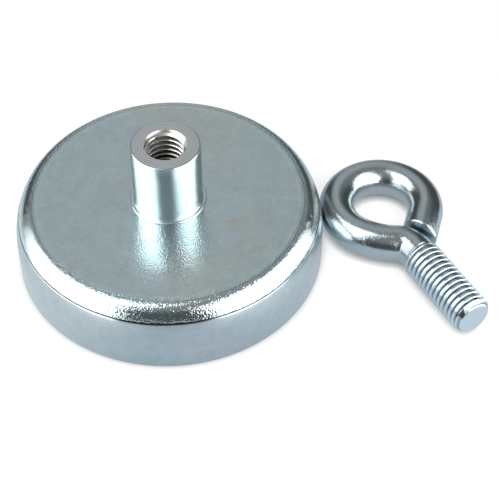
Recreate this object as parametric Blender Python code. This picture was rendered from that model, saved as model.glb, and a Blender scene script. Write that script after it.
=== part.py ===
# Fishing magnet: a steel pot with a disc magnet potted into it, a threaded bush on its back,
# and the bent eyebolt that screws into the bush, here lying unscrewed beside the pot.
# Metres, +Z up. The origin is the centre of the holding face, which stands on the floor.

import math

import bmesh
import bpy
from mathutils import Matrix, Vector

# Clearances
FACE_GAP = 0.0003          # between faces that rest on, or are bonded to, each other
REST_GAP = 0.00035         # between the pot's wall and the eye that lies against it

# Steel pot
POT_DIAMETER = 0.075
POT_HEIGHT = 0.018
POT_WALL = 0.0055          # beside the potted ring
POT_BACK = 0.0070          # above the magnet
EDGE_REACH = 0.0045        # the edge's rounding, inwards from the wall
EDGE_DROP = 0.0096         # depth below the back at which the wall is upright
ARRIS_DROP = 0.0035        # depth of the line where the turned wall meets the rounding
RIM_CHAMFER = 0.0004

# Magnet and what holds it in
POTTING_WIDTH = 0.0030     # gap between magnet and pot that the potting fills
POTTING_RECESS = 0.0003    # the potting lies this far above the holding face
MAGNET_CHAMFER = 0.0003
BOND_THICKNESS = 0.0004

# Threaded bush
BUSH_DIAMETER = 0.0166
BUSH_HEIGHT = 0.0175       # above the pot's back
BUSH_CHAMFER = 0.0004
COLLAR_WIDTH = 0.0009      # how far the collar at its foot stands out
COLLAR_HEIGHT = 0.0008
COLLAR_CHAMFER = 0.0003
SPIGOT_WALL = 0.0015       # steel between the thread and the spigot's outside
BORE_FLOOR = 0.0040        # steel left under the bore
MOUTH_WIDENING = 0.0002    # how far the countersink is wider than the thread, on the radius

# Thread, right-handed metric coarse
THREAD_DIAMETER = 0.010
THREAD_PITCH = 0.0015
THREAD_PLAY = 0.00005      # taken off the bolt's radius and added to the bush's
TIP_CHAMFER = 0.0010

# Eyebolt
WIRE_DIAMETER = 0.0089
SHANK_LENGTH = 0.0248      # straight threaded stretch
NECK_INSIDE = 0.00075      # inside radius of the bend between shank and eye
NECK_TURN = math.radians(56.75)
BRANCH_LENGTH = 0.0006     # straight stretch after the neck
BRANCH_RADIUS = 0.01885    # wide bend that leads into the eye
BRANCH_TURN = math.radians(27.7)
EYE_RADIUS = 0.01116       # to the middle of the wire
TAIL_SHIFT = 0.0008        # how far the wire's end sits from the neck's middle, towards the shank

# Where the eyebolt lies
EYE_BEARING = math.radians(9.9)      # of the eye's centre, seen from the pot's axis
SHANK_HEADING = math.radians(119.3)  # from the tip towards the eye

# Facets
POT_SIDES = 64
BUSH_SIDES = 32
WIRE_SIDES = 24
EDGE_STEPS = 4
WALL_STEPS = 3
BEND_ANGLE = math.radians(10.0)      # most that the wire turns from one ring to the next

# Steps of one turn of thread: share of the pitch, and share of the way from root to crest
THREAD_STEPS = ((0.0, 1.0), (0.125, 1.0), (0.4375, 0.0), (0.6875, 0.0))
THREAD_DEPTH_SHARE = 0.6134          # bolt's thread depth as a share of its pitch
NUT_DEPTH_SHARE = 0.5413             # the same for the bush

POT_RADIUS = POT_DIAMETER / 2
CAVITY_RADIUS = POT_RADIUS - POT_WALL
CAVITY_TOP = POT_HEIGHT - POT_BACK
MAGNET_RADIUS = CAVITY_RADIUS - POTTING_WIDTH
BOND_TOP = CAVITY_TOP - FACE_GAP
BOND_BOTTOM = BOND_TOP - BOND_THICKNESS
MAGNET_TOP = BOND_BOTTOM - FACE_GAP
SPIGOT_RADIUS = THREAD_DIAMETER / 2 + SPIGOT_WALL
BUSH_TOP = POT_HEIGHT + BUSH_HEIGHT
WIRE_RADIUS = WIRE_DIAMETER / 2


def clear_scene():
    for thing in list(bpy.data.objects):
        bpy.data.objects.remove(thing, do_unlink=True)


def steel_like(name, colour, roughness, metallic):
    material = bpy.data.materials.new(name)
    material.use_nodes = True
    shader = material.node_tree.nodes["Principled BSDF"]
    shader.inputs["Base Color"].default_value = (*colour, 1.0)
    shader.inputs["Roughness"].default_value = roughness
    shader.inputs["Metallic"].default_value = metallic
    return material


def finish_object(name, bm, material, matrix=None, smooth_below=35.0):
    bmesh.ops.recalc_face_normals(bm, faces=bm.faces)
    mesh = bpy.data.meshes.new(name)
    bm.to_mesh(mesh)
    bm.free()
    mesh.materials.append(material)
    mesh.shade_smooth()
    mesh.set_sharp_from_angle(angle=math.radians(smooth_below))
    thing = bpy.data.objects.new(name, mesh)
    bpy.context.scene.collection.objects.link(thing)
    if matrix is not None:
        thing.matrix_world = matrix
    return thing


def turned(profile, steps):
    # Spins a closed profile of (radius, height) points about Z.
    bm = bmesh.new()
    points = [bm.verts.new((radius, 0.0, height)) for radius, height in profile]
    edges = [bm.edges.new((points[i - 1], points[i])) for i in range(len(points))]
    bmesh.ops.spin(
        bm,
        geom=points + edges,
        cent=(0.0, 0.0, 0.0),
        axis=(0.0, 0.0, 1.0),
        angle=math.tau,
        steps=steps,
        use_merge=True,
    )
    bmesh.ops.remove_doubles(bm, verts=bm.verts, dist=1e-6)
    on_axis = [edge for edge in bm.edges if not edge.link_faces]
    bmesh.ops.delete(bm, geom=on_axis, context="EDGES")
    return bm


def edge_inset(depth):
    # How far in from the wall the rounding lies at a depth below the back.
    share = 1.0 - depth / EDGE_DROP
    return EDGE_REACH * (1.0 - math.sqrt(max(0.0, 1.0 - share * share)))


def pot_outline():
    # The rounding and the turned wall lie on one quarter ellipse, and meet at the arris.
    outline = []
    for step in range(EDGE_STEPS + 1):
        depth = ARRIS_DROP * (step / EDGE_STEPS) ** 2
        inset = edge_inset(depth)
        outline.append((POT_RADIUS - inset, POT_HEIGHT - depth))
    for step in range(1, WALL_STEPS + 1):
        depth = ARRIS_DROP + (EDGE_DROP - ARRIS_DROP) * step / WALL_STEPS
        inset = edge_inset(depth)
        outline.append((POT_RADIUS - inset, POT_HEIGHT - depth))
    return outline


def make_steel_pot(material):
    hole = SPIGOT_RADIUS + FACE_GAP
    profile = [(hole, POT_HEIGHT)] + pot_outline()
    profile += [
        (POT_RADIUS, RIM_CHAMFER),
        (POT_RADIUS - RIM_CHAMFER, 0.0),
        (CAVITY_RADIUS + RIM_CHAMFER, 0.0),
        (CAVITY_RADIUS, RIM_CHAMFER),
        (CAVITY_RADIUS, CAVITY_TOP),
        (hole, CAVITY_TOP),
    ]
    return finish_object("steel_pot", turned(profile, POT_SIDES), material)


def make_magnet_disc(material):
    profile = [
        (0.0, 0.0),
        (MAGNET_RADIUS - MAGNET_CHAMFER, 0.0),
        (MAGNET_RADIUS, MAGNET_CHAMFER),
        (MAGNET_RADIUS, MAGNET_TOP - MAGNET_CHAMFER),
        (MAGNET_RADIUS - MAGNET_CHAMFER, MAGNET_TOP),
        (0.0, MAGNET_TOP),
    ]
    return finish_object("magnet_disc", turned(profile, POT_SIDES), material)


def make_bond_layer(material):
    reach = MAGNET_RADIUS - MAGNET_CHAMFER
    profile = [(0.0, BOND_BOTTOM), (reach, BOND_BOTTOM), (reach, BOND_TOP), (0.0, BOND_TOP)]
    return finish_object("bond_layer", turned(profile, POT_SIDES), material)


def make_potting_ring(material):
    inner = MAGNET_RADIUS + FACE_GAP
    outer = CAVITY_RADIUS - FACE_GAP
    profile = [
        (inner, POTTING_RECESS),
        (outer, POTTING_RECESS),
        (outer, BOND_TOP),
        (inner, BOND_TOP),
    ]
    return finish_object("potting_ring", turned(profile, POT_SIDES), material)


def ring_of_verts(bm, radius, height, sides):
    ring = []
    for side in range(sides):
        angle = math.tau * side / sides
        ring.append(bm.verts.new((radius * math.cos(angle), radius * math.sin(angle), height)))
    return ring


def join_rings(bm, lower, upper):
    for side in range(len(lower)):
        following = (side + 1) % len(lower)
        bm.faces.new((lower[side], lower[following], upper[following], upper[side]))


def thread_surface(bm, low_ring, high_ring, start, length, sides, radius_at):
    # A right-handed helical skin between two level rings. Each row of vertices climbs one
    # pitch a turn, so a row's end meets the start of the row one pitch further up.
    per_turn = len(THREAD_STEPS)
    rows = per_turn * int(length / THREAD_PITCH - 1.0)
    grid = {}
    for row in range(rows + per_turn + 1):
        turn, step = divmod(row, per_turn)
        share, crest = THREAD_STEPS[step]
        for side in range(sides if row <= rows else 1):
            height = start + (turn + share + side / sides) * THREAD_PITCH
            radius = radius_at(height, crest)
            angle = math.tau * side / sides
            place = (radius * math.cos(angle), radius * math.sin(angle), height)
            grid[row, side] = bm.verts.new(place)
    for row in range(rows + 1):
        grid[row, sides] = grid[row + per_turn, 0]
    for row in range(rows):
        for side in range(sides):
            corners = (
                grid[row, side],
                grid[row, side + 1],
                grid[row + 1, side + 1],
                grid[row + 1, side],
            )
            bm.faces.new(corners)
    for side in range(sides - 1):
        bm.faces.new((low_ring[side], low_ring[side + 1], grid[0, side + 1], grid[0, side]))
    for side in range(1, sides):
        following = (side + 1) % sides
        corners = (grid[rows, side], grid[rows, side + 1], high_ring[following], high_ring[side])
        bm.faces.new(corners)
    low_seam = [grid[row, 0] for row in range(per_turn + 1)]
    high_seam = [grid[row, 0] for row in range(rows, rows + per_turn + 1)]
    low_end = [low_ring[-1], low_ring[0]] + low_seam + [grid[0, sides - 1]]
    high_end = [grid[rows, 1], high_ring[1], high_ring[0]] + high_seam[::-1]
    seams = [bm.faces.new(low_end), bm.faces.new(high_end)]
    bmesh.ops.triangulate(bm, faces=seams)


def make_threaded_bush(material):
    bush_radius = BUSH_DIAMETER / 2
    collar_radius = bush_radius + COLLAR_WIDTH
    seat = POT_HEIGHT + FACE_GAP
    collar_top = seat + COLLAR_HEIGHT
    root_radius = THREAD_DIAMETER / 2 + THREAD_PLAY
    crest_radius = THREAD_DIAMETER / 2 - NUT_DEPTH_SHARE * THREAD_PITCH
    mouth_radius = root_radius + MOUTH_WIDENING
    bore_bottom = CAVITY_TOP + BORE_FLOOR
    thread_bottom = bore_bottom + THREAD_PITCH

    def radius_at(height, share):
        run_in = min(1.0, max(0.0, (height - thread_bottom) / THREAD_PITCH - 1.0))
        grooved = crest_radius + (root_radius - crest_radius) * share * run_in
        countersink = mouth_radius - (BUSH_TOP - height)
        return max(grooved, countersink)

    bm = bmesh.new()
    outside = [
        (SPIGOT_RADIUS, CAVITY_TOP),
        (SPIGOT_RADIUS, seat),
        (collar_radius, seat),
        (collar_radius, collar_top - COLLAR_CHAMFER),
        (collar_radius - COLLAR_CHAMFER, collar_top),
        (bush_radius, collar_top),
        (bush_radius, BUSH_TOP - BUSH_CHAMFER),
        (bush_radius - BUSH_CHAMFER, BUSH_TOP),
        (mouth_radius, BUSH_TOP),
    ]
    rings = [ring_of_verts(bm, radius, height, BUSH_SIDES) for radius, height in outside]
    for lower, upper in zip(rings, rings[1:]):
        join_rings(bm, lower, upper)
    bm.faces.new(rings[0])
    low_ring = ring_of_verts(bm, crest_radius, thread_bottom, BUSH_SIDES)
    floor_ring = ring_of_verts(bm, crest_radius, bore_bottom, BUSH_SIDES)
    join_rings(bm, low_ring, floor_ring)
    bm.faces.new(floor_ring)
    thread_length = BUSH_TOP - thread_bottom
    thread_surface(
        bm, low_ring, rings[-1], thread_bottom, thread_length, BUSH_SIDES, radius_at
    )
    return finish_object("threaded_bush", bm, material)


def arc_points(place, heading, radius, turn):
    # Walks along an arc. A positive turn is to the left, seen from above.
    steps = max(1, math.ceil(abs(turn) / BEND_ANGLE))
    side = 1.0 if turn > 0.0 else -1.0
    centre = place + side * radius * Vector((-math.sin(heading), math.cos(heading)))
    walked = []
    for step in range(1, steps + 1):
        angle = heading + turn * step / steps
        spoke = Vector((math.sin(angle), -math.cos(angle)))
        walked.append((centre + side * radius * spoke, angle))
    return walked, centre


def wire_route():
    # The wire's middle line from the shank's end, in the plane of the eye, with the shank
    # along +X. Gives (point, heading) pairs, the eye's centre, and the plane of the end cut.
    neck_radius = WIRE_RADIUS + NECK_INSIDE
    start = Vector((SHANK_LENGTH, 0.0))
    neck, neck_centre = arc_points(start, 0.0, neck_radius, NECK_TURN)
    route = [(start, 0.0)] + neck
    place, heading = route[-1]
    place = place + BRANCH_LENGTH * Vector((math.cos(heading), math.sin(heading)))
    route.append((place, heading))
    branch, _ = arc_points(place, heading, BRANCH_RADIUS, -BRANCH_TURN)
    route += branch
    place, heading = route[-1]

    cut_spoke = Vector((math.sin(NECK_TURN / 2), -math.cos(NECK_TURN / 2)))
    cut_along = Vector((-cut_spoke.y, cut_spoke.x))
    cut_place = neck_centre + (neck_radius + WIRE_RADIUS + REST_GAP) * cut_spoke
    target = cut_place - TAIL_SHIFT * cut_along

    eye_centre = place + EYE_RADIUS * Vector((math.sin(heading), -math.cos(heading)))
    reach = target - eye_centre
    target_angle = math.atan2(reach.y, reach.x)
    leave_angle = target_angle + math.acos(min(1.0, EYE_RADIUS / reach.length))
    join_angle = heading + math.pi / 2
    eye_turn = (join_angle - leave_angle) % math.tau
    eye, _ = arc_points(place, heading, EYE_RADIUS, -eye_turn)
    route += eye
    tail_place, tail_heading = route[-1]
    route.append((target, tail_heading))
    return route, eye_centre, cut_place, cut_spoke


def wire_ring(bm, place, heading):
    across = Vector((-math.sin(heading), math.cos(heading), 0.0))
    ring = []
    for side in range(WIRE_SIDES):
        angle = math.tau * side / WIRE_SIDES
        spoke = math.cos(angle) * across + math.sin(angle) * Vector((0.0, 0.0, 1.0))
        ring.append(bm.verts.new(place.to_3d() + WIRE_RADIUS * spoke))
    return ring


def shear_to_plane(ring, place, normal, heading):
    # Slides each vertex along the wire until it lies on the upright plane of the end cut.
    along = Vector((math.cos(heading), math.sin(heading)))
    for vert in ring:
        short = (place - vert.co.to_2d()).dot(normal) / along.dot(normal)
        vert.co += (short * along).to_3d()


def make_eyebolt(material):
    crest_radius = THREAD_DIAMETER / 2 - THREAD_PLAY
    root_radius = crest_radius - THREAD_DEPTH_SHARE * THREAD_PITCH
    tip_radius = crest_radius - TIP_CHAMFER
    run_out = SHANK_LENGTH - 2 * THREAD_PITCH

    def radius_at(height, share):
        cut = root_radius + (crest_radius - root_radius) * share
        fade = min(1.0, max(0.0, (height - run_out) / THREAD_PITCH))
        cut += (WIRE_RADIUS - cut) * fade
        return min(cut, tip_radius + height)

    bm = bmesh.new()
    tip = ring_of_verts(bm, tip_radius, 0.0, WIRE_SIDES)
    bm.faces.new(tip)
    shank_end = ring_of_verts(bm, WIRE_RADIUS, SHANK_LENGTH, WIRE_SIDES)
    thread_surface(bm, tip, shank_end, 0.0, SHANK_LENGTH, WIRE_SIDES, radius_at)
    stand_to_lie = Matrix(((0, 0, 1), (1, 0, 0), (0, 1, 0))).to_4x4()
    bmesh.ops.transform(bm, matrix=stand_to_lie, verts=bm.verts)

    route, eye_centre, cut_place, cut_spoke = wire_route()
    rings = [wire_ring(bm, place, heading) for place, heading in route[1:]]
    shear_to_plane(rings[-1], cut_place, cut_spoke, route[-1][1])
    for lower, upper in zip([shank_end] + rings, rings):
        join_rings(bm, lower, upper)
    bm.faces.new(rings[-1])
    to_centre = Matrix.Translation(-eye_centre.to_3d())
    bmesh.ops.transform(bm, matrix=to_centre, verts=bm.verts)

    # The crests stand out past the wire, so the bolt rests on the eye's far side and on the
    # last full crest, with its tip slightly raised. A wire as fat as the thread lies flat.
    last_crest = eye_centre.x - run_out
    stands_out = max(0.0, crest_radius - WIRE_RADIUS)
    nose_up = math.asin(stands_out / (last_crest + EYE_RADIUS))
    eye_height = WIRE_RADIUS + EYE_RADIUS * math.sin(nose_up)
    eye_distance = POT_RADIUS + REST_GAP + WIRE_RADIUS + EYE_RADIUS
    lie = Matrix.Translation(
        (
            eye_distance * math.cos(EYE_BEARING),
            eye_distance * math.sin(EYE_BEARING),
            eye_height,
        )
    )
    lie = lie @ Matrix.Rotation(SHANK_HEADING, 4, "Z") @ Matrix.Rotation(nose_up, 4, "Y")
    return finish_object("eyebolt", bm, material, lie)


def main():
    clear_scene()
    pot_zinc = steel_like("zinc_pot", (0.53, 0.58, 0.60), 0.30, 1.0)
    bush_zinc = steel_like("zinc_bush", (0.66, 0.70, 0.73), 0.22, 1.0)
    bolt_zinc = steel_like("zinc_bolt", (0.60, 0.65, 0.69), 0.20, 1.0)
    nickel = steel_like("nickel_plate", (0.68, 0.66, 0.62), 0.18, 1.0)
    bond_epoxy = steel_like("bond_epoxy", (0.30, 0.28, 0.22), 0.50, 0.0)
    potting_epoxy = steel_like("potting_epoxy", (0.06, 0.06, 0.06), 0.40, 0.0)
    make_steel_pot(pot_zinc)
    make_threaded_bush(bush_zinc)
    make_magnet_disc(nickel)
    make_bond_layer(bond_epoxy)
    make_potting_ring(potting_epoxy)
    make_eyebolt(bolt_zinc)


main()
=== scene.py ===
import math

import bmesh
import bpy
from mathutils import Matrix, Vector


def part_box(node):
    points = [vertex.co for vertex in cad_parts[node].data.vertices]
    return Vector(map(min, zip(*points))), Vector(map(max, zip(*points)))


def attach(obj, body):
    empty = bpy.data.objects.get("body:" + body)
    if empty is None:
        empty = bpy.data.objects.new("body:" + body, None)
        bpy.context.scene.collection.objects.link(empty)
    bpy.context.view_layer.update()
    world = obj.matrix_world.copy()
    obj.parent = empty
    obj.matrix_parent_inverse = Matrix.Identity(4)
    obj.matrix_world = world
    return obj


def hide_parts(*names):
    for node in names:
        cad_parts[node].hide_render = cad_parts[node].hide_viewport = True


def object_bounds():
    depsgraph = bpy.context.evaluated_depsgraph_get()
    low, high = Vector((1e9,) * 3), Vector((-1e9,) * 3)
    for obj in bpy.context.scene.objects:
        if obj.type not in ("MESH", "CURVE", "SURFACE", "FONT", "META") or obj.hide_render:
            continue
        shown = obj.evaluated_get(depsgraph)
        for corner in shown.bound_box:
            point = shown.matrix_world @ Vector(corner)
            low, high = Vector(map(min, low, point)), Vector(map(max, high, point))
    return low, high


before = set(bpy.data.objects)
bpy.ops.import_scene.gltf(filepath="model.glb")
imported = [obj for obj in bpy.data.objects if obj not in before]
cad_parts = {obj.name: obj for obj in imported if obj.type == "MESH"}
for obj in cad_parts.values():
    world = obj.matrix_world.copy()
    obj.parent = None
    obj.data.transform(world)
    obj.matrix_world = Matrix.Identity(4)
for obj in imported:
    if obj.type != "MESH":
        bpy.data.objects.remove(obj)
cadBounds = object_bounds()
print("frame loaded:", ", ".join(sorted(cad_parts)))

# Meshes are made in millimetres and scaled to metres when a piece is finished.
metresPerMm = 0.001
faceGap = 0.3  # the CAD solids stand this far off the faces that they rest on
straightUp = Vector((0.0, 0.0, 1.0))


def boxOf(node):
    low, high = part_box(node)
    return low / metresPerMm, high / metresPerMm


class Wire:
    # One output socket of a node tree. Arithmetic on wires adds Math nodes behind them.
    def __init__(self, tree, socket=None):
        self.tree = tree
        self.socket = socket

    def add(self, kind, settings=None, sockets=None, output=0):
        node = self.tree.nodes.new("ShaderNode" + kind)
        for name, value in (settings or {}).items():
            setattr(node, name, value)
        for name, value in (sockets or {}).items():
            if isinstance(value, Wire):
                self.tree.links.new(value.socket, node.inputs[name])
            else:
                node.inputs[name].default_value = value
        return Wire(self.tree, node.outputs[output])

    def math(self, operation, other, swapped=False):
        sockets = {0: other, 1: self} if swapped else {0: self, 1: other}
        return self.add("Math", {"operation": operation}, sockets)

    def __add__(self, other):
        return self.math("ADD", other)

    def __radd__(self, other):
        return self.math("ADD", other, swapped=True)

    def __sub__(self, other):
        return self.math("SUBTRACT", other)

    def __rsub__(self, other):
        return self.math("SUBTRACT", other, swapped=True)

    def __mul__(self, other):
        return self.math("MULTIPLY", other)

    def __rmul__(self, other):
        return self.math("MULTIPLY", other, swapped=True)

    def part(self, axis):
        return self.add("SeparateXYZ", {}, {0: self}, output=axis)

    def vector(self, operation, other):
        return self.add("VectorMath", {"operation": operation}, {0: self, 1: other})

    def dot(self, other):
        return self.add("VectorMath", {"operation": "DOT_PRODUCT"}, {0: self, 1: other}, output=1)

    def length(self):
        return self.add("VectorMath", {"operation": "LENGTH"}, {0: self}, output=1)

    def times(self, colour):
        # This grey wire times a colour.
        return self.add("VectorMath", {"operation": "SCALE"}, {0: colour, 3: self})

    def tint(self, first, second):
        # A colour between two colours, by this wire. Sockets 6 and 7 are the Mix node's colours.
        sockets = {0: self, 6: asColour(first), 7: asColour(second)}
        return self.add("Mix", {"data_type": "RGBA"}, sockets, output=2)

    def between(self, low, high):
        # 0 below low, 1 above high, eased in between. It also runs downwards.
        settings = {"interpolation_type": "SMOOTHSTEP"}
        return self.add("MapRange", settings, {"Value": self, "From Min": low, "From Max": high})

    def noise(self, place, scale, detail=2.0, roughness=0.5, distortion=0.0):
        sockets = {
            "Vector": place,
            "Scale": scale,
            "Detail": detail,
            "Roughness": roughness,
            "Distortion": distortion,
        }
        return self.add("TexNoise", {"noise_dimensions": "3D"}, sockets)

    def lines(self, along, scale, detail=3.0):
        sockets = {"W": along, "Scale": scale, "Detail": detail, "Roughness": 0.6}
        return self.add("TexNoise", {"noise_dimensions": "1D"}, sockets)


def asColour(value):
    return value if isinstance(value, Wire) else (*value, 1.0)


def newMaterial(name, metallic):
    material = bpy.data.materials.new(name)
    material.use_nodes = True
    tree = material.node_tree
    shader = tree.nodes["Principled BSDF"]
    shader.inputs["Metallic"].default_value = metallic
    return material, Wire(tree), shader


def plug(wire, shader, name):
    wire.tree.links.new(wire.socket, shader.inputs[name])


def bumped(bench, layers):
    # Stacks Bump nodes: (height wire, depth in millimetres), the widest relief first.
    normal = None
    for height, depth in layers:
        sockets = {"Height": height, "Distance": depth * metresPerMm, "Strength": 1.0}
        if normal is not None:
            sockets["Normal"] = normal
        normal = bench.add("Bump", {}, sockets)
    return normal


def millimetrePlace(bench):
    # Noise scales below are therefore per millimetre.
    objectPlace = bench.add("TexCoord", {}, {}, output=3)
    return bench.add("VectorMath", {"operation": "SCALE"}, {0: objectPlace, 3: 1.0 / metresPerMm})


def axisParts(place):
    # The distance from the upright axis and the height, in millimetres.
    flat = place.vector("MULTIPLY", (1.0, 1.0, 0.0))
    return flat.length(), place.part(2)


def finishPiece(name, bm, material, sharpAngle=30.0, matrix=None):
    bmesh.ops.recalc_face_normals(bm, faces=bm.faces)
    scale = Matrix.Scale(metresPerMm, 4)
    bmesh.ops.transform(bm, matrix=scale @ (matrix or Matrix()), verts=bm.verts)
    mesh = bpy.data.meshes.new(name)
    bm.to_mesh(mesh)
    bm.free()
    mesh.materials.append(material)
    mesh.shade_smooth()
    mesh.set_sharp_from_angle(angle=math.radians(sharpAngle))
    piece = bpy.data.objects.new(name, mesh)
    bpy.context.scene.collection.objects.link(piece)
    print(name, "has", len(mesh.polygons), "faces")
    return piece


def spinOutline(bm, outline, sides, closed=True):
    # Turns (radius, height) points about the upright axis.
    points = [bm.verts.new((radius, 0.0, height)) for radius, height in outline]
    pairs = list(zip(points, points[1:]))
    if closed:
        pairs.append((points[-1], points[0]))
    edges = [bm.edges.new(pair) for pair in pairs]
    bmesh.ops.spin(
        bm,
        geom=points + edges,
        cent=(0.0, 0.0, 0.0),
        axis=(0.0, 0.0, 1.0),
        angle=math.tau,
        steps=sides,
        use_merge=True,
    )
    bmesh.ops.remove_doubles(bm, verts=bm.verts, dist=1e-4)
    loose = [edge for edge in bm.edges if not edge.link_faces]
    bmesh.ops.delete(bm, geom=loose, context="EDGES")


def roundedCorner(centre, radius, fromDegrees, toDegrees, steps):
    # Points of an arc in the (radius, height) plane; 0 degrees points outwards, 90 up.
    points = []
    for step in range(steps + 1):
        angle = math.radians(fromDegrees + (toDegrees - fromDegrees) * step / steps)
        points.append((centre[0] + radius * math.cos(angle), centre[1] + radius * math.sin(angle)))
    return points


def threadForm(share, thread):
    # 1 on the crest, 0 in the root, with both rounded. The share is of one pitch.
    crestHalf = thread["crestHalf"]
    rootHalf = thread["rootHalf"]
    fromCrest = min(share, 1.0 - share)
    slope = (0.5 - rootHalf - fromCrest) / (0.5 - rootHalf - crestHalf)
    slope = min(1.0, max(0.0, slope))
    eased = slope * slope * (3.0 - 2.0 * slope)
    return slope + (eased - slope) * thread["rounded"]


def threadSkin(bm, thread, length, radiusAt):
    # A right-handed helical skin from height 0 to the length, cut flat at both ends.
    sides = thread["sides"]
    perTurn = thread["stepsPerTurn"]
    pitch = thread["pitch"]
    turns = math.ceil(length / pitch) + 2
    rows = turns * perTurn
    columns = []
    for side in range(sides + 1):
        column = []
        angle = math.tau * side / sides
        for row in range(rows + 1):
            height = (row / perTurn + side / sides - 1.5) * pitch
            radius = radiusAt(height, threadForm(row / perTurn % 1.0, thread))
            place = (radius * math.cos(angle), radius * math.sin(angle), height)
            column.append(bm.verts.new(place))
        columns.append(column)
    for low, high in zip(columns, columns[1:]):
        for row in range(rows):
            bm.faces.new((low[row], high[row], high[row + 1], low[row + 1]))
    bmesh.ops.remove_doubles(bm, verts=bm.verts, dist=1e-4)
    for height, outwards in ((0.0, -1.0), (length, 1.0)):
        bmesh.ops.bisect_plane(
            bm,
            geom=bm.verts[:] + bm.edges[:] + bm.faces[:],
            dist=1e-5,
            plane_co=(0.0, 0.0, height),
            plane_no=(0.0, 0.0, outwards),
            clear_outer=True,
        )


# Lengths are in millimetres, angles in degrees and depths of relief in millimetres.
pot = {
    "flatReach": 4.5,        # the back's flat ends this far in from the wall
    "shoulderWidth": 1.8,    # a gentle slope between the flat and the rounding
    "shoulderTilt": 9.0,
    "roundingDrop": 9.6,     # depth at which the wall is upright
    "arrisDepth": 3.5,       # where the forged rounding meets the turned wall
    "grooveWidth": 0.16,     # a fine tool groove along the arris
    "grooveDepth": 0.05,
    "grooveTurn": 1.2,       # the wall starts this far round from the arris
    "rimRounding": 0.45,
    "innerRounding": 0.4,
    "underCollar": 2.4,      # the back's hole lies this far in under the bush's collar
    "flatRings": (12.0, 18.0, 24.0, 30.0),
    "sides": 288,
    "backColour": (0.575, 0.690, 0.715),
    "warmColour": (0.605, 0.670, 0.655),
    "wallColour": (0.555, 0.628, 0.640),
    "violetColour": (0.600, 0.622, 0.660),
    "stainColour": (0.520, 0.500, 0.430),
    "backRoughness": 0.19,
    "edgeRoughness": 0.13,
    "wallRoughness": 0.22,
    "grainPerMm": 2.6,
    "backGrainDepth": 0.035,
    "edgeGrainDepth": 0.066,
    "fineGrainDepth": 0.038,
    "waveDepth": 0.03,
    "latheDepth": 0.0012,
    "scratchDirections": ((0.35, 0.94, 0.0), (0.88, -0.47, 0.0)),
    "scratchTone": 0.16,
    "paintedRoundingSheen": 0.08,    # painted sheen: the rounding's colour is a little brighter than the flat's
    "paintedEdgeShadeTone": 0.24,    # painted shade: the line where they meet is darker,
    "paintedArrisShadeTone": 0.90,   # as is the arris, also painted shade
}


def scratchMarks(bench, place, along):
    # Sparse thin marks that run along a direction in the plan.
    across = (along[1], -along[0], 0.0)
    bend = bench.noise(place, 0.05, 1.0) * 3.0
    lengthways = place.dot(along) * 0.09
    sideways = (place.dot(across) + bend) * 1.7
    stretched = bench.add("CombineXYZ", {}, {0: lengthways, 1: sideways})
    return bench.noise(stretched, 1.0, 1.0, 0.4).between(0.72, 0.80)


def makePotZinc(look, radius, height):
    material, bench, shader = newMaterial("zincPot", 1.0)
    place = millimetrePlace(bench)
    fromAxis, level = axisParts(place)
    flatEdge = radius - look["flatReach"]
    arris = height - look["arrisDepth"]
    turned = level.between(arris + 0.05, arris - 0.05)
    forged = 1.0 - turned
    edge = fromAxis.between(flatEdge - 2.0, flatEdge - 0.8)
    rounding = fromAxis.between(flatEdge + 0.1, flatEdge + 0.5) * forged
    # Painted shade: a thin dark line where the flat meets the rounding.
    paintedEdgeShade = fromAxis.between(flatEdge - 0.40, flatEdge - 0.18)
    paintedEdgeShade = paintedEdgeShade * fromAxis.between(flatEdge + 0.16, flatEdge - 0.06)
    # Painted shade: a thin dark band along the arris.
    paintedArrisShade = level.between(arris - 0.38, arris - 0.22)
    paintedArrisShade = paintedArrisShade * level.between(arris + 0.16, arris + 0.04)

    warmth = bench.noise(place, 0.045, 3.0, 0.55, 0.6).between(0.44, 0.66)
    back = warmth.tint(look["backColour"], look["warmColour"])
    stains = bench.noise(place, 0.16, 3.0, 0.6).between(0.66, 0.76)
    stains = stains * bench.noise(place, 0.9, 1.0) * 0.7
    back = stains.tint(back, look["stainColour"])
    violet = bench.noise(place, 0.07, 2.0).between(0.42, 0.70)
    wall = violet.tint(look["wallColour"], look["violetColour"])
    speck = bench.noise(place, look["grainPerMm"] * 1.7, 1.0)
    patches = bench.noise(place, 0.30, 4.0, 0.65, 0.3)
    mottleSheenAndShade = 0.72 + speck * (0.26 + edge * 0.20) + patches * 0.30
    for direction in look["scratchDirections"]:
        mottleSheenAndShade = mottleSheenAndShade + scratchMarks(bench, place, direction) * forged * look["scratchTone"]
    # Painted sheen lifts the rounding's colour, and painted shade darkens the line at the flat's
    # edge and the arris.
    mottleSheenAndShade = mottleSheenAndShade * (1.0 + rounding * look["paintedRoundingSheen"] - paintedEdgeShade * look["paintedEdgeShadeTone"])
    mottleSheenAndShade = mottleSheenAndShade * (1.0 - paintedArrisShade * look["paintedArrisShadeTone"])
    plug(mottleSheenAndShade.times(turned.tint(back, wall)), shader, "Base Color")

    roughness = look["backRoughness"] + edge * (look["edgeRoughness"] - look["backRoughness"])
    roughness = roughness + turned * (look["wallRoughness"] - look["edgeRoughness"])
    roughness = roughness + (bench.noise(place, 0.5, 3.0) - 0.5) * 0.06
    plug(roughness, shader, "Roughness")

    grain = bench.noise(place, look["grainPerMm"], 0.0)
    fineGrain = bench.noise(place, look["grainPerMm"] * 1.5, 0.0)
    layers = [
        (bench.noise(place, 0.16, 2.0), look["waveDepth"]),
        (forged * grain, look["backGrainDepth"]),
        (edge * forged * grain, look["edgeGrainDepth"] - look["backGrainDepth"]),
        (edge * forged * fineGrain, look["fineGrainDepth"]),
        (turned * bench.lines(level, 9.0), look["latheDepth"]),
    ]
    plug(bumped(bench, layers), shader, "Normal")
    return material


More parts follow.
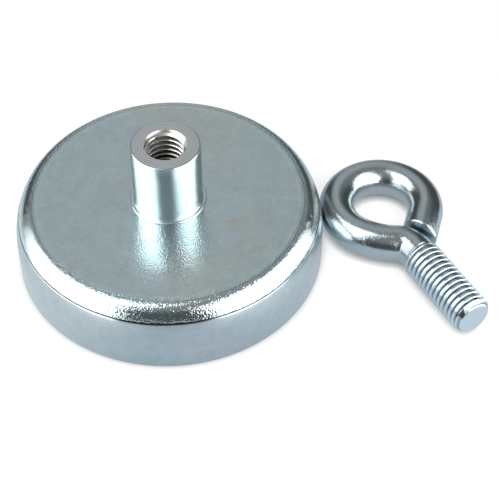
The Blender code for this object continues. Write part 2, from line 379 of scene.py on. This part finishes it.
def potOutline(look, radius, height, hole, cavity, cavityTop):
    # The back from its hole outwards, down the wall, round the rim and up the cavity.
    reach = look["flatReach"]
    drop = look["roundingDrop"]
    shoulder = look["shoulderWidth"]
    slope = math.tan(math.radians(look["shoulderTilt"]))
    startAngle = math.degrees(math.atan2(drop, reach * slope))
    tall = (drop - slope * shoulder / 2) / math.sin(math.radians(startAngle))
    arrisAngle = math.degrees(math.asin((drop - look["arrisDepth"]) / tall))

    def onRounding(degrees):
        angle = math.radians(degrees)
        return (
            radius - reach + reach * math.cos(angle),
            height - drop + tall * math.sin(angle),
        )

    outline = [(ring, height) for ring in (hole, *look["flatRings"])]
    shoulderStart = onRounding(startAngle)[0] - shoulder
    shoulderSteps = 8
    for step in range(shoulderSteps):
        along = shoulder * step / shoulderSteps
        outline.append((shoulderStart + along, height - slope * along ** 2 / (2 * shoulder)))
    forgedSteps = 22
    for step in range(forgedSteps + 1):
        share = (step / forgedSteps) ** 0.85
        outline.append(onRounding(startAngle + (arrisAngle - startAngle) * share))

    arrisReach, arris = outline[-1]
    grooveFoot = arris - look["grooveWidth"]
    outline.append((arrisReach - look["grooveDepth"], (arris + grooveFoot) / 2))
    outline.append((arrisReach + look["grooveDepth"], grooveFoot))
    wallSteps = 14
    for step in range(1, wallSteps + 1):
        share = 1.0 - step / wallSteps
        outline.append(onRounding((arrisAngle - look["grooveTurn"]) * share))

    rim = look["rimRounding"]
    outline += roundedCorner((radius - rim, rim), rim, 0.0, -90.0, 6)
    inner = look["innerRounding"]
    outline += roundedCorner((cavity + inner, inner), inner, -90.0, -180.0, 5)
    outline += [(cavity, cavityTop), (hole, cavityTop)]
    return outline


def makePot(look):
    radius, _, height = boxOf("steel_pot")[1]
    hole = boxOf("threaded_bush")[1].x - look["underCollar"]
    cavity = boxOf("potting_ring")[1].x + faceGap
    cavityTop = boxOf("bond_layer")[1].z + faceGap
    outline = potOutline(look, radius, height, hole, cavity, cavityTop)
    bm = bmesh.new()
    spinOutline(bm, outline, look["sides"])
    piece = finishPiece("potShell", bm, makePotZinc(look, radius, height))
    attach(piece, "magnet")
    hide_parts("steel_pot")


bush = {
    "radius": 8.3,
    "topRounding": 0.34,
    "footHeight": 0.36,      # of the collar that rests on the back
    "footRounding": 0.12,
    "footFillet": 0.12,      # between the collar and the side
    "landing": 6.8,          # the end face is bridged from here to the bore
    "mouthWider": 0.1,       # than the thread's roots
    "mouthSlope": 0.9,
    "boreFloor": 15.0,       # above the ground
    "spigotRadius": 6.5,
    "sides": 160,
    "thread": {
        "pitch": 1.5,
        "major": 5.05,
        "depth": 0.86,
        "crestHalf": 0.13,   # of one pitch, as is rootHalf
        "rootHalf": 0.09,
        "rounded": 0.4,
        "sides": 120,
        "stepsPerTurn": 16,
    },
    "colour": (0.66, 0.75, 0.78),
    "endColour": (0.66, 0.69, 0.69),
    "boreColour": (0.74, 0.73, 0.70),
    # Painted shade that darkens the bore towards its floor.
    "paintedBoreShade": (0.26, 0.25, 0.23),
    "roughness": 0.25,
    "endRoughness": 0.25,
    "boreRoughness": 0.30,
    "ringDepth": 0.05,
    "turningDepth": 0.0010,
    "grainDepth": 0.0016,
}


def makeBushZinc(look, top):
    material, bench, shader = newMaterial("zincBush", 1.0)
    place = millimetrePlace(bench)
    fromAxis, level = axisParts(place)
    onEnd = level.between(top - 0.12, top - 0.04)
    inBore = fromAxis.between(5.45, 5.25)

    cloud = bench.noise(place, 0.12, 3.0).between(0.35, 0.7)
    side = cloud.tint(look["colour"], [0.97 * part for part in look["colour"]])
    endTone = 0.90 + bench.lines(fromAxis, 1.6, 1.0).between(0.36, 0.62) * 0.18
    outside = onEnd.tint(side, endTone.times(look["endColour"]))
    # Painted shade: the bore darkens towards its floor.
    bore = level.between(top - 10.5, top - 4.5).tint(look["paintedBoreShade"], look["boreColour"])
    plug(inBore.tint(outside, bore), shader, "Base Color")

    roughness = look["roughness"] + onEnd * (look["endRoughness"] - look["roughness"])
    roughness = roughness + inBore * (look["boreRoughness"] - look["endRoughness"])
    roughness = roughness + (bench.noise(place, 0.8, 3.0) - 0.5) * 0.04
    plug(roughness, shader, "Roughness")

    layers = [
        (onEnd * bench.lines(fromAxis, 1.5, 1.0), look["ringDepth"]),
        ((1.0 - onEnd) * bench.lines(level, 7.0), look["turningDepth"]),
        (bench.noise(place, 3.0, 2.0), look["grainDepth"]),
    ]
    plug(bumped(bench, layers), shader, "Normal")
    return material


def joinInto(bm, extra):
    # Copies one bmesh into another, through a mesh that is then removed.
    mesh = bpy.data.meshes.new("joining")
    extra.to_mesh(mesh)
    extra.free()
    bm.from_mesh(mesh)
    bpy.data.meshes.remove(mesh)


def bridgeAt(bm, height, slack):
    # Bridges the two open rims that lie at a height.
    rims = [
        edge
        for edge in bm.edges
        if edge.is_boundary and all(abs(vert.co.z - height) < slack for vert in edge.verts)
    ]
    bmesh.ops.bridge_loops(bm, edges=rims)


def bushOutline(look, low, seat, collar, top):
    # From the middle of the spigot's end, up the outside and in over the end face.
    radius = look["radius"]
    foot = look["footRounding"]
    footTop = seat + look["footHeight"]
    fillet = look["footFillet"]
    rounding = look["topRounding"]
    spigot = look["spigotRadius"]
    outline = [(0.0, low), (spigot, low), (spigot, seat)]
    outline += roundedCorner((collar - foot, seat + foot), foot, -90.0, 0.0, 4)
    outline += roundedCorner((collar - foot, footTop - foot), foot, 0.0, 90.0, 4)
    outline += [(radius + fillet, footTop), (radius, footTop + fillet)]
    outline += [(radius, seat + share * (top - seat)) for share in (0.25, 0.5, 0.75)]
    outline += roundedCorner((radius - rounding, top - rounding), rounding, 0.0, 90.0, 6)
    outline.append((look["landing"], top))
    return outline


def makeBush(look):
    low, high = boxOf("threaded_bush")
    top = high.z
    thread = look["thread"]
    boreFloor = look["boreFloor"]
    minor = thread["major"] - thread["depth"]
    mouth = thread["major"] + look["mouthWider"]
    threadStart = boreFloor + thread["pitch"]
    length = top - threadStart

    def radiusAt(height, crest):
        run = min(1.0, max(0.0, height / thread["pitch"] - 1.0))
        cut = minor + thread["depth"] * (1.0 - crest) * run
        return max(cut, mouth - (length - height) * look["mouthSlope"])

    bm = bmesh.new()
    threadSkin(bm, thread, length, radiusAt)
    bmesh.ops.translate(bm, verts=bm.verts, vec=(0.0, 0.0, threadStart))
    outer = bmesh.new()
    seat = boxOf("steel_pot")[1].z
    spinOutline(outer, bushOutline(look, low.z, seat, high.x, top), look["sides"], closed=False)
    joinInto(bm, outer)
    drilled = [(0.0, boreFloor), (minor, boreFloor), (minor, threadStart - 0.01)]
    bore = bmesh.new()
    spinOutline(bore, drilled, thread["sides"], closed=False)
    joinInto(bm, bore)
    bridgeAt(bm, top, 0.001)
    bridgeAt(bm, threadStart, 0.02)
    piece = finishPiece("turnedBush", bm, makeBushZinc(look, top))
    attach(piece, "magnet")
    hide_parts("threaded_bush")


magnet = {
    "rounding": 0.5,
    "sides": 256,
    "colour": (0.62, 0.60, 0.55),
    "dullColour": (0.58, 0.57, 0.54),
    "roughness": 0.22,
    "waveDepth": 0.02,
    "grindingDepth": 0.003,
}


def makeNickel(look):
    material, bench, shader = newMaterial("nickelPlate", 1.0)
    place = millimetrePlace(bench)
    cloud = bench.noise(place, 0.06, 3.0).between(0.4, 0.7)
    plug(cloud.tint(look["colour"], look["dullColour"]), shader, "Base Color")
    roughness = look["roughness"] + (bench.noise(place, 0.4, 4.0) - 0.5) * 0.1
    plug(roughness, shader, "Roughness")
    stretched = place.vector("MULTIPLY", (8.0, 0.15, 8.0))
    layers = [
        (bench.noise(place, 0.3, 2.0), look["waveDepth"]),
        (bench.noise(stretched, 0.8, 3.0), look["grindingDepth"]),
    ]
    plug(bumped(bench, layers), shader, "Normal")
    return material


def makeMagnet(look):
    low, high = boxOf("magnet_disc")
    rounding = look["rounding"]
    reach = high.x - rounding
    outline = [(0.0, low.z), (reach * 0.5, low.z)]
    outline += roundedCorner((reach, low.z + rounding), rounding, -90.0, 0.0, 6)
    outline += roundedCorner((reach, high.z - rounding), rounding, 0.0, 90.0, 6)
    outline += [(reach * 0.5, high.z), (0.0, high.z)]
    bm = bmesh.new()
    spinOutline(bm, outline, look["sides"])
    piece = finishPiece("magnetDisc", bm, makeNickel(look))
    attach(piece, "magnet")
    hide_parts("magnet_disc")


potting = {
    "dish": 0.22,            # the cast face is this much hollow between its walls
    "sides": 256,
    "colour": (0.012, 0.012, 0.013),
    "roughness": 0.32,
    "grainDepth": 0.004,
}

bond = {
    "colour": (0.30, 0.28, 0.22),
    "roughness": 0.5,
    "grainDepth": 0.01,
}


def makeCastEpoxy(name, look):
    material, bench, shader = newMaterial(name, 0.0)
    place = millimetrePlace(bench)
    dust = bench.noise(place, 1.4, 4.0).between(0.55, 0.85)
    dusty = [part + 0.03 for part in look["colour"]]
    plug(dust.tint(look["colour"], dusty), shader, "Base Color")
    plug(look["roughness"] + dust * 0.2, shader, "Roughness")
    layers = [
        (bench.noise(place, 0.35, 2.0), 0.08),
        (bench.noise(place, 2.0, 2.0), look["grainDepth"]),
    ]
    plug(bumped(bench, layers), shader, "Normal")
    return material


def makePotting(look):
    low, high = boxOf("potting_ring")
    inner = boxOf("magnet_disc")[1].x
    outer = high.x + faceGap
    outline = []
    steps = 10
    for step in range(steps + 1):
        share = step / steps
        hollow = look["dish"] * (1.0 - (2.0 * share - 1.0) ** 2)
        outline.append((inner + (outer - inner) * share, low.z + hollow))
    outline += [(outer, high.z), (inner, high.z)]
    bm = bmesh.new()
    spinOutline(bm, outline, look["sides"])
    piece = finishPiece("pottingRing", bm, makeCastEpoxy("pottingEpoxy", look))
    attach(piece, "magnet")
    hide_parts("potting_ring")


def dressBond(look):
    # The adhesive keeps its CAD solid, and gets its finish here.
    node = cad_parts["bond_layer"]
    node.data.materials.clear()
    node.data.materials.append(makeCastEpoxy("bondEpoxy", look))


bolt = {
    "wireRadius": 4.45,
    "shankLength": 24.8,
    "neckInside": 0.75,
    "neckTurn": 56.75,
    "branchLength": 0.6,
    "branchRadius": 18.85,
    "branchTurn": 27.7,
    "eyeRadius": 11.16,
    "endShift": 0.8,         # of the wire's end from the neck's middle, towards the shank
    "endGap": 0.35,
    "endRounding": 0.55,
    "shankHeading": 119.3,
    "noseUp": 0.93,
    "tipChamfer": 1.0,
    "tipSlope": 0.8,
    "tipFace": ((0.25, -0.02), (1.2, 0.05), (2.6, 0.02)),  # rings: in from the rim, and along
    "bendStep": 2.5,
    "sides": 96,
    "thread": {
        "pitch": 1.5,
        "major": 4.95,
        "depth": 0.84,
        "crestHalf": 0.20,   # of one pitch, as is rootHalf
        "rootHalf": 0.05,
        "rounded": 0.30,
        "sides": 96,
        "stepsPerTurn": 18,
    },
    "colour": (0.515, 0.585, 0.615),
    "warmColour": (0.545, 0.590, 0.580),
    "threadColour": (0.640, 0.725, 0.775),
    # Painted shade in the thread's roots.
    "paintedRootShade": (0.250, 0.300, 0.320),
    "shankFrom": (-7.0, -13.0),  # the thread's colour fades in between these
    "roughness": 0.17,
    "waveDepth": 0.03,
    "grainDepth": 0.040,
}


def makeBoltZinc(look, tip, along):
    material, bench, shader = newMaterial("zincBolt", 1.0)
    place = millimetrePlace(bench)
    fromTip = place.vector("SUBTRACT", tip)
    fromShank = fromTip.vector("CROSS_PRODUCT", along).length()
    onTip = fromTip.dot(along).between(0.4, 0.1)
    root = look["thread"]["major"] - look["thread"]["depth"]
    crest = fromShank.between(root + 0.05, root + 0.60).math("MAXIMUM", onTip)

    cloud = bench.noise(place, 0.12, 3.0, 0.55, 0.4).between(0.40, 0.68)
    bare = cloud.tint(look["colour"], look["warmColour"])
    # Painted shade darkens the thread's roots; the crests get a lighter zinc.
    threaded = crest.tint(look["paintedRootShade"], look["threadColour"])
    zinc = place.part(1).between(*look["shankFrom"]).tint(bare, threaded)
    speck = 0.90 + bench.noise(place, 2.6, 1.0) * 0.20
    plug(speck.times(zinc), shader, "Base Color")
    roughness = look["roughness"] + (bench.noise(place, 0.7, 3.0) - 0.5) * 0.08
    plug(roughness, shader, "Roughness")
    layers = [
        (bench.noise(place, 0.35, 1.0), look["waveDepth"]),
        (bench.noise(place, 2.8, 0.0), look["grainDepth"]),
    ]
    plug(bumped(bench, layers), shader, "Normal")
    return material


def onward(heading):
    return Vector((math.cos(math.radians(heading)), math.sin(math.radians(heading))))


def rightOf(heading):
    return Vector((math.sin(math.radians(heading)), -math.cos(math.radians(heading))))


def walkArc(place, heading, radius, turn, stepDegrees):
    # Points of an arc from a place. A positive turn, in degrees, is to the left.
    steps = max(1, math.ceil(abs(turn) / stepDegrees))
    side = math.copysign(1.0, turn)
    centre = place - side * radius * rightOf(heading)
    walked = []
    for step in range(1, steps + 1):
        onwardHeading = heading + turn * step / steps
        walked.append((centre + side * radius * rightOf(onwardHeading), onwardHeading))
    return walked, centre


def boltRoute(look):
    # The wire's middle line, with the shank along +X from its tip, as in the CAD.
    # With it come the eye's centre, the middle of the wire's end, and its cut's place and normal.
    step = look["bendStep"]
    neckRadius = look["wireRadius"] + look["neckInside"]
    start = Vector((look["shankLength"], 0.0))
    neck, neckCentre = walkArc(start, 0.0, neckRadius, look["neckTurn"], step)
    route = list(neck)
    place, heading = route[-1]
    place = place + look["branchLength"] * onward(heading)
    route.append((place, heading))
    route += walkArc(place, heading, look["branchRadius"], -look["branchTurn"], step)[0]
    place, heading = route[-1]

    cutNormal = rightOf(look["neckTurn"] / 2)
    cutReach = neckRadius + look["wireRadius"] + look["endGap"]
    cutPlace = neckCentre + cutReach * cutNormal
    target = cutPlace - look["endShift"] * Vector((-cutNormal.y, cutNormal.x))

    eyeCentre = place + look["eyeRadius"] * rightOf(heading)
    reach = target - eyeCentre
    leave = math.atan2(reach.y, reach.x) + math.acos(look["eyeRadius"] / reach.length)
    eyeTurn = (heading + 90.0 - math.degrees(leave)) % 360.0
    route += walkArc(place, heading, look["eyeRadius"], -eyeTurn, step)[0]
    return route, eyeCentre, target, cutPlace, cutNormal


def wireRing(bm, place, heading, radius, sides, cut=None):
    # A ring of vertices about the wire. A cut (point, normal) shears it onto that plane.
    along = onward(heading)
    across = Vector((-along.y, along.x, 0.0))
    ring = []
    for side in range(sides):
        angle = math.tau * side / sides
        spoke = math.cos(angle) * across + math.sin(angle) * straightUp
        spot = place.to_3d() + radius * spoke
        if cut is not None:
            point, normal = cut
            short = (point - spot.to_2d()).dot(normal) / along.dot(normal)
            spot += (short * along).to_3d()
        ring.append(bm.verts.new(spot))
    return ring


def joinRings(bm, first, second):
    count = len(first)
    for side in range(count):
        following = (side + 1) % count
        bm.faces.new((first[side], first[following], second[following], second[side]))


def closeTip(bm, rim, tipRadius, rings):
    # Draws the tip's rim inwards, ring by ring, and fills the middle.
    for inset, along in rings:
        made = bmesh.ops.extrude_edge_only(bm, edges=rim)["geom"]
        rim = [part for part in made if isinstance(part, bmesh.types.BMEdge) and part.is_boundary]
        for vert in {vert for edge in rim for vert in edge.verts}:
            spoke = Vector((0.0, vert.co.y, vert.co.z))
            spoke.length = tipRadius - inset
            vert.co = spoke + Vector((along, 0.0, 0.0))
    bmesh.ops.holes_fill(bm, edges=rim, sides=0)


def bendWire(bm, look, route, target, cutPlace, cutNormal):
    # Skins the wire from the neck round the eye to its rounded end.
    wireRadius = look["wireRadius"]
    sides = look["sides"]
    rings = [wireRing(bm, place, heading, wireRadius, sides) for place, heading in route]
    endHeading = route[-1][1]
    steps = 6
    for step in range(steps + 1):
        angle = math.pi / 2 * step / steps
        back = look["endRounding"] * (1.0 - math.sin(angle))
        slim = look["endRounding"] * (1.0 - math.cos(angle))
        cut = (cutPlace + back * cutNormal, cutNormal)
        rings.append(wireRing(bm, target, endHeading, wireRadius - slim, sides, cut))
    for share in (0.6, 0.3):
        cut = (cutPlace, cutNormal)
        rings.append(wireRing(bm, target, endHeading, wireRadius * share, sides, cut))
    for first, second in zip(rings, rings[1:]):
        joinRings(bm, first, second)
    bm.faces.new(rings[-1])


def lieDown(look, eyeCentre):
    # Lays the bolt on the floor, with its eye in the corner of the CAD box.
    low, high = boxOf("eyebolt")
    reach = look["eyeRadius"] + look["wireRadius"]
    noseUp = math.radians(look["noseUp"])
    lift = look["wireRadius"] + look["eyeRadius"] * math.sin(noseUp)
    lie = Matrix.Translation((low.x + reach, high.y - reach, lift))
    lie = lie @ Matrix.Rotation(math.radians(look["shankHeading"]), 4, "Z")
    lie = lie @ Matrix.Rotation(noseUp, 4, "Y")
    return lie @ Matrix.Translation(-eyeCentre.to_3d())


def makeBolt(look):
    thread = look["thread"]
    length = look["shankLength"]
    tipRadius = thread["major"] - look["tipChamfer"]
    runOut = length - 2 * thread["pitch"]

    def radiusAt(height, crest):
        cut = thread["major"] - thread["depth"] * (1.0 - crest)
        fade = min(1.0, max(0.0, (height - runOut) / thread["pitch"]))
        cut += (look["wireRadius"] - cut) * fade
        return min(cut, tipRadius + max(0.0, height) * look["tipSlope"])

    bm = bmesh.new()
    threadSkin(bm, thread, length, radiusAt)
    standToLie = Matrix(((0, 0, 1), (1, 0, 0), (0, 1, 0))).to_4x4()
    bmesh.ops.transform(bm, matrix=standToLie, verts=bm.verts)
    rims = [edge for edge in bm.edges if edge.is_boundary]
    tipRim = [edge for edge in rims if edge.verts[0].co.x < length / 2]
    closeTip(bm, tipRim, tipRadius, look["tipFace"])

    route, eyeCentre, target, cutPlace, cutNormal = boltRoute(look)
    bendWire(bm, look, route, target, cutPlace, cutNormal)
    neckRims = [edge for edge in bm.edges if edge.is_boundary]
    bmesh.ops.bridge_loops(bm, edges=neckRims)

    lie = lieDown(look, eyeCentre)
    along = lie.to_3x3() @ Vector((1.0, 0.0, 0.0))
    material = makeBoltZinc(look, lie.translation, along)
    piece = finishPiece("bentEyebolt", bm, material, 40.0, lie)
    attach(piece, "eyebolt")
    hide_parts("eyebolt")


# The floor looks white to the camera, and dimmer and bluer in the zinc.
floor = {
    "radius": 100.0,
    "aside": 12.0,               # its middle lies this far towards the eyebolt
    "roughness": 0.8,
    "seenColour": (0.36, 0.36, 0.36),
    "seenGlow": (0.70, 0.70, 0.70),
    "paintedShadowReach": 0.0021,      # metres of floor next to the object that get a painted contact shadow
    "reflectedColour": (0.20, 0.225, 0.24),
    "reflectedGlow": (0.20, 0.245, 0.285),
    # Painted light: in the zinc, the floor grows brighter towards the left and the right.
    "paintedLeftLight": (0.415, 0.430, 0.450),
    "leftFrom": (-2.0, -36.0),   # the painted light on the left fades in between these
    "paintedRightLight": (0.340, 0.375, 0.415),
    "rightFrom": (14.0, 48.0),
}


def makeFloor(look):
    material, bench, shader = newMaterial("whiteFloor", 0.0)
    place = millimetrePlace(bench)
    direct = bench.add("LightPath")  # 1 for what the camera sees itself
    paper = 0.98 + bench.noise(place, 0.02, 2.0) * 0.04
    colour = direct.tint(look["reflectedColour"], look["seenColour"])
    plug(paper.times(colour), shader, "Base Color")
    # Painted shadow: the floor that the camera sees darkens next to the object.
    reach = {"Distance": look["paintedShadowReach"]}
    paintedContactShadow = bench.add("AmbientOcclusion", {"samples": 8}, reach, output=1)
    aside = place.part(0)
    # Painted light: in reflections the floor grows brighter to the left and the right.
    reflected = aside.between(*look["leftFrom"]).tint(look["reflectedGlow"], look["paintedLeftLight"])
    reflected = aside.between(*look["rightFrom"]).tint(reflected, look["paintedRightLight"])
    glow = direct.tint(reflected, paintedContactShadow.times(look["seenGlow"]))
    plug(glow, shader, "Emission Color")
    shader.inputs["Emission Strength"].default_value = 1.0
    shader.inputs["Roughness"].default_value = look["roughness"]
    bm = bmesh.new()
    bmesh.ops.create_circle(bm, cap_ends=True, radius=look["radius"], segments=128)
    bmesh.ops.translate(bm, verts=bm.verts, vec=(look["aside"], 0.0, 0.0))
    finishPiece("floor", bm, material)


# Each panel stands on a line in the floor plan, and leans inwards. Metres and degrees.
lights = {
    "keyLeft": {
        "near": (-0.092, -0.150),
        "far": (-0.538, 0.152),
        "foot": -0.12,
        "top": 0.644,
        "lean": 16.2,
        "radiance": 2.6,
    },
    "keyRight": {
        "near": (0.091, -0.157),
        "far": (0.129, 0.021),
        "foot": -0.010,
        "top": 0.140,
        "lean": 10.0,
        "radiance": 3.2,
    },
}


def makeLight(name, panel):
    near = Vector((*panel["near"], 0.0))
    far = Vector((*panel["far"], 0.0))
    outward = (far - near).normalized().cross(straightUp)
    if outward.dot(near + far) < 0.0:
        outward = -outward
    lean = math.radians(panel["lean"])
    rise = math.cos(lean) * straightUp - math.sin(lean) * outward
    backwards = math.cos(lean) * outward + math.sin(lean) * straightUp
    data = bpy.data.lights.new(name, "AREA")
    data.shape = "RECTANGLE"
    data.size = (far - near).length
    data.size_y = panel["top"] - panel["foot"]
    data.energy = panel["radiance"] * math.pi * data.size * data.size_y
    light = bpy.data.objects.new(name, data)
    bpy.context.scene.collection.objects.link(light)
    middle = (near + far) / 2 + rise * (panel["foot"] + panel["top"]) / 2
    axes = Matrix((rise.cross(backwards), rise, backwards)).transposed()
    light.matrix_world = Matrix.Translation(middle) @ axes.to_4x4()
    light.visible_camera = False


# Ranges are of a reflected direction's parts: aside is X, away is Y and rise is Z.
surroundings = {
    "seen": (1.0, 1.0, 1.0),
    "dark": (0.078, 0.088, 0.090),
    "darkHigh": (0.250, 0.270, 0.275),
    "highFrom": (0.45, 0.80),      # rise over which the dark room lightens
    "backdrop": (0.49, 0.51, 0.52),
    "leftEdge": (-0.42, -0.20),    # the backdrop's edges, from outside to inside
    "rightEdge": (0.32, 0.03),
    "nearEdge": (0.02, 0.36),
    "topFrom": (0.80, 0.93),       # rise over which the right edge comes in
    "topNarrowing": 0.20,
    "lowFrom": (0.05, 0.40),       # rise below which the backdrop dims
    "lowShare": 0.55,
    "ground": (0.46, 0.51, 0.54),
    "horizon": (-0.11, -0.17),
}


def makeSurroundings(look):
    # White where the camera looks past the floor, and a dim room in reflections.
    world = bpy.data.worlds.new("studio")
    bpy.context.scene.world = world
    world.use_nodes = True
    tree = world.node_tree
    tree.nodes.clear()
    bench = Wire(tree)
    direct = bench.add("LightPath")
    heading = bench.add("TexCoord")
    aside = heading.part(0)
    away = heading.part(1)
    rise = heading.part(2)
    narrowed = aside + rise.between(*look["topFrom"]) * look["topNarrowing"]
    backdrop = aside.between(*look["leftEdge"]) * narrowed.between(*look["rightEdge"])
    backdrop = backdrop * away.between(*look["nearEdge"])
    lowShare = look["lowShare"]
    backdrop = backdrop * (lowShare + rise.between(*look["lowFrom"]) * (1.0 - lowShare))
    dark = rise.between(*look["highFrom"]).tint(look["dark"], look["darkHigh"])
    room = backdrop.tint(dark, look["backdrop"])
    room = rise.between(*look["horizon"]).tint(room, look["ground"])
    light = bench.add("Background", {}, {"Color": direct.tint(room, look["seen"]), "Strength": 1.0})
    out = tree.nodes.new("ShaderNodeOutputWorld")
    tree.links.new(light.socket, out.inputs["Surface"])


camera = {
    "elevation": 48.13,
    "distance": 0.35635,     # metres from the aimed point
    "lens": 102.61,
    "sensor": 36.0,
    "aimAside": 0.45,        # millimetres from the middle of the CAD box
    "aimBack": -1.0,
    "shift": -0.0009,
}


def makeCamera(look):
    low, high = [Vector(corner) for corner in cadBounds]
    aim = Vector(((low.x + high.x) / 2, (low.y + high.y) / 2, 0.0))
    aim += Vector((look["aimAside"], look["aimBack"], 0.0)) * metresPerMm
    elevation = math.radians(look["elevation"])
    backwards = Vector((0.0, -math.cos(elevation), math.sin(elevation)))
    data = bpy.data.cameras.new("camera")
    data.sensor_width = look["sensor"]
    data.lens = look["lens"]
    data.shift_x = look["shift"]
    data.clip_start = 0.01
    body = bpy.data.objects.new("camera", data)
    bpy.context.scene.collection.objects.link(body)
    body.location = aim + look["distance"] * backwards
    body.rotation_euler = (-backwards).to_track_quat("-Z", "Y").to_euler()
    bpy.context.scene.camera = body
    bpy.context.scene.view_settings.view_transform = "Standard"


makePot(pot)
makeBush(bush)
makeMagnet(magnet)
makePotting(potting)
dressBond(bond)
makeBolt(bolt)
makeFloor(floor)
for lightName, lightPanel in lights.items():
    makeLight(lightName, lightPanel)
makeSurroundings(surroundings)
makeCamera(camera)
print("floor, lights, surroundings and camera set")
